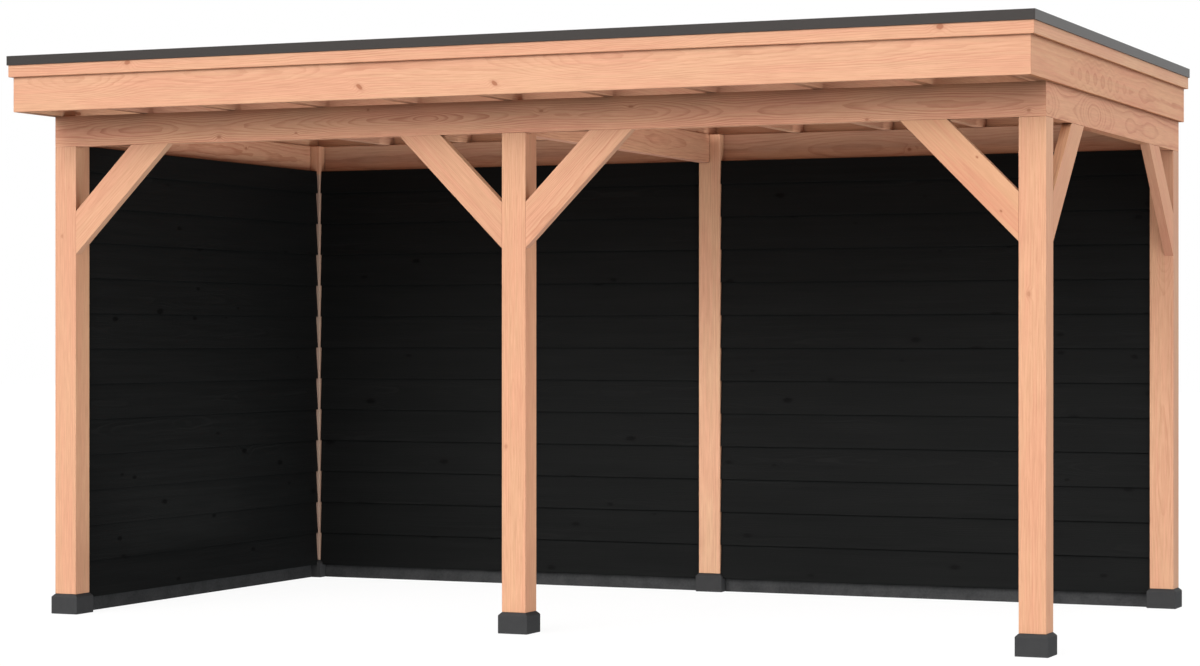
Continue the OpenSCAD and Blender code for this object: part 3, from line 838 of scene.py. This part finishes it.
def black_timber():
    m, n, bsdf = new_material("black_stained_wood")
    a = n.add("ShaderNodeAttribute", attribute_name="grain_p")
    s = n.add("ShaderNodeAttribute", attribute_name="grain_seed")
    P = a.outputs["Vector"]
    u, v, w = n.split(P)
    seed = s.outputs["Fac"]
    sh = n.combine(n.math("MULTIPLY", seed, 3.7), n.math("MULTIPLY", seed, 1.9), 0.0)

    # knots, small and dark, with the grain flowing round them
    cell = n.add("ShaderNodeTexVoronoi", voronoi_dimensions="2D", feature="F1")
    cell.inputs["Scale"].default_value = 1.0
    n.link(n.combine(n.math("ADD", n.math("MULTIPLY", u, 2.6), n.math("MULTIPLY", seed, 13.7)),
                     n.math("ADD", n.math("MULTIPLY", w, 5.2), n.math("MULTIPLY", seed, 5.3)), 0.0),
           cell.inputs["Vector"])
    pick, _, size = n.split(cell.outputs["Color"])
    there = n.math("GREATER_THAN", pick, 0.55)
    d = n.math("DIVIDE", cell.outputs["Distance"], n.remap(size, 0.0, 1.0, 0.030, 0.082))
    wob = n.noise(n.vmath("MULTIPLY", P, (50.0, 50.0, 50.0)), 1.0, 1.0, 0.5)
    d = n.math("ADD", d, n.math("MULTIPLY", n.math("SUBTRACT", wob, 0.5), 0.6))
    core = n.math("MULTIPLY", there, n.math("SUBTRACT", 1.0, n.smooth(d, 0.6, 1.3)))
    push = n.math("MULTIPLY", n.math("MULTIPLY", there, n.math("SUBTRACT", 1.0, n.smooth(d, 0.5, 4.5))), 0.010)

    g = n.add("ShaderNodeGroup", node_tree=GRAIN)
    n.put(g.inputs["P"], P)
    g.inputs["Pith"].default_value = (0, 0, 0)
    g.inputs["Ring"].default_value = 0.0062
    g.inputs["Wander"].default_value = 0.07
    g.inputs["Ripple"].default_value = 0.016
    g.inputs["Onset"].default_value = 0.50
    n.put(g.inputs["Seed"], seed)
    n.link(push, g.inputs["Push"])
    late, fibre, strand, streak, tone, fleck = [g.outputs[i] for i in range(6)]
    base = n.mix(n.smooth(streak, 0.28, 0.72), (0.0043, 0.0046, 0.0045, 1), (0.0056, 0.0059, 0.0058, 1))
    # the harder rings are painted lighter: partly a painted highlight where they stand up and catch the light, partly
    # the soft wood taking more stain
    base = n.mix(n.math("MULTIPLY", late, n.math("MULTIPLY", n.smooth(tone, 0.38, 0.66), 0.75)), base,
                 (0.0092, 0.0094, 0.0091, 1))
    base = n.mix(n.math("MULTIPLY", n.smooth(strand, 0.60, 0.80), 0.40), base, (0.0024, 0.0024, 0.0024, 1))
    base = n.mix(n.math("MULTIPLY", core, 0.85), base, (0.0014, 0.0014, 0.0014, 1))
    # painted shade in the laps and joints, laid from ambient occlusion
    gap = n.smooth(crevice(n, 0.040), 0.10, 0.80)
    base = n.mix(1.0, base, n.mix(gap, (0.10, 0.10, 0.10, 1), (1, 1, 1, 1)), "MULTIPLY")
    n.link(base, bsdf.inputs["Base Color"])
    n.link(n.remap(fibre, 0.2, 0.8, 0.55, 0.72), bsdf.inputs["Roughness"])
    bsdf.inputs["Specular IOR Level"].default_value = 0.05
    bp = n.add("ShaderNodeBump")
    bp.inputs["Strength"].default_value = 0.35
    bp.inputs["Distance"].default_value = 0.0012
    n.link(n.math("ADD", fibre, n.math("MULTIPLY", late, 0.8)), bp.inputs["Height"])
    n.link(bp.outputs[0], bsdf.inputs["Normal"])
    return m


black_mat = black_timber()
rng = random.Random(11)
wl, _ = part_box("wall_left")
lo_l, hi_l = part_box("wall_left")
wall_boards("wall_left", (X0 + POST, lo_l.y, 0), (0, 1, 0), (-1, 0, 0), hi_l.y - lo_l.y, 2.0, rng)
for nm in ("wall_back_left", "wall_back_right"):
    lo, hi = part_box(nm)
    wall_boards(nm, (lo.x, Y1 - POST, 0), (1, 0, 0), (0, 1, 0), hi.x - lo.x, 100.0 if nm.endswith("left") else 200.0, rng)

# ---------------------------------------------------------------------------
# Studio: pale floor, soft light all round, camera
# ---------------------------------------------------------------------------


def studio():
    world = bpy.data.worlds.new("studio")
    bpy.context.scene.world = world
    world.use_nodes = True
    world.node_tree.nodes.clear()
    n = Nodes(world.node_tree)
    out = n.add("ShaderNodeOutputWorld")
    tc = n.add("ShaderNodeTexCoord")
    d = n.vmath("NORMALIZE", tc.outputs["Generated"])
    x, y, z = n.split(d)
    # even light from above, none from below, and three wide soft sources:
    # azimuth from the front towards the right, height, tightness, strength
    sky = n.math("MULTIPLY", n.smooth(z, -0.03, 0.03), 0.85)
    level = n.combine(sky, sky, sky)
    for az, el, k, amp, tint in ((-10.5, 24.0, 15.5, 11.4, (1, 1, 1)), (84.0, -38.0, 7.2, 4.0, (0.97, 1.0, 1.03)),
                                 (190.0, 40.0, 3.4, 0.95, (1, 1, 1))):
        a, e = math.radians(az), math.radians(el)
        axis = (math.cos(e) * math.sin(a), -math.cos(e) * math.cos(a), math.sin(e))
        lobe = n.math("EXPONENT", n.math("MULTIPLY", n.math("SUBTRACT", n.dot(d, axis), 1.0), k))
        lobe = n.math("MULTIPLY", lobe, amp)
        level = n.vmath("ADD", level, n.vmath("MULTIPLY", n.combine(lobe, lobe, lobe), tint))
    light = n.add("ShaderNodeBackground")
    n.link(level, light.inputs["Color"])
    light.inputs["Strength"].default_value = 1.0
    white = n.add("ShaderNodeBackground")
    white.inputs["Color"].default_value = (1, 1, 1, 1)
    white.inputs["Strength"].default_value = 1.0
    lp = n.add("ShaderNodeLightPath")
    mx = n.add("ShaderNodeMixShader")
    n.link(lp.outputs["Is Camera Ray"], mx.inputs[0])
    n.link(light.outputs[0], mx.inputs[1])
    n.link(white.outputs[0], mx.inputs[2])
    n.link(mx.outputs[0], out.inputs[0])

    bm = bmesh.new()
    bmesh.ops.create_grid(bm, x_segments=1, y_segments=1, size=60.0)
    me = bpy.data.meshes.new("studio_floor")
    bm.to_mesh(me)
    bm.free()
    floor = bpy.data.objects.new("studio_floor", me)
    bpy.context.scene.collection.objects.link(floor)
    floor.location = (0, 0, -0.0005)
    floor.visible_diffuse = False
    floor.visible_glossy = False
    floor.visible_shadow = False
    m, n, bsdf = new_material("pale_floor")
    bsdf.inputs["Base Color"].default_value = (0.07, 0.07, 0.07, 1)
    bsdf.inputs["Roughness"].default_value = 0.9
    bsdf.inputs["Specular IOR Level"].default_value = 0.0
    bsdf.inputs["Emission Color"].default_value = (1, 1, 1, 1)
    bsdf.inputs["Emission Strength"].default_value = 0.93
    # seen from below the floor is clear, so that the underside can be looked at
    out = [k for k in m.node_tree.nodes if k.type == "OUTPUT_MATERIAL"][0]
    geo = n.add("ShaderNodeNewGeometry")
    clear = n.add("ShaderNodeBsdfTransparent")
    mx = n.add("ShaderNodeMixShader")
    n.link(geo.outputs["Backfacing"], mx.inputs[0])
    n.link(bsdf.outputs[0], mx.inputs[1])
    n.link(clear.outputs[0], mx.inputs[2])
    n.link(mx.outputs[0], out.inputs[0])
    me.materials.append(m)

    # light that a pale floor throws up under the roof, and a little into it
    for name, loc, rot, size, watts in (
            ("floor_bounce", (0, -0.10, 0.24), (math.pi, 0, 0), (4.5, 1.15), 37.0),
            ("front_fill", (0, -0.98, 1.45), (math.pi / 2, 0, 0), (4.7, 1.5), 10.5),
            ("eaves_fill_back", (0, 1.27, 2.446), (math.radians(122), 0, 0), (4.7, 0.05), 0.9),
            ("eaves_fill_front", (0, Y0 + 0.03, BEAM_Z1 + 0.002), (math.pi, 0, 0), (4.8, 0.05), 0.45)):
        lamp = bpy.data.lights.new(name, "AREA")
        lamp.shape = "RECTANGLE"
        lamp.size, lamp.size_y = size
        lamp.energy = watts
        ob = bpy.data.objects.new(name, lamp)
        bpy.context.scene.collection.objects.link(ob)
        ob.location = loc
        ob.rotation_euler = rot
        ob.visible_camera = False
        ob.visible_glossy = False

    cam = bpy.data.cameras.new("camera")
    ob = bpy.data.objects.new("camera", cam)
    bpy.context.scene.collection.objects.link(ob)
    ob.location = (5.7291, -13.2458, 1.3499)
    ob.rotation_euler = (math.radians(90), 0, math.radians(23.623))
    cam.sensor_fit = "HORIZONTAL"
    cam.sensor_width = 36.0
    cam.lens = 87.53
    cam.shift_y = 0.0056
    cam.clip_end = 300.0
    bpy.context.scene.camera = ob
    bpy.context.scene.view_settings.view_transform = "Standard"


studio()
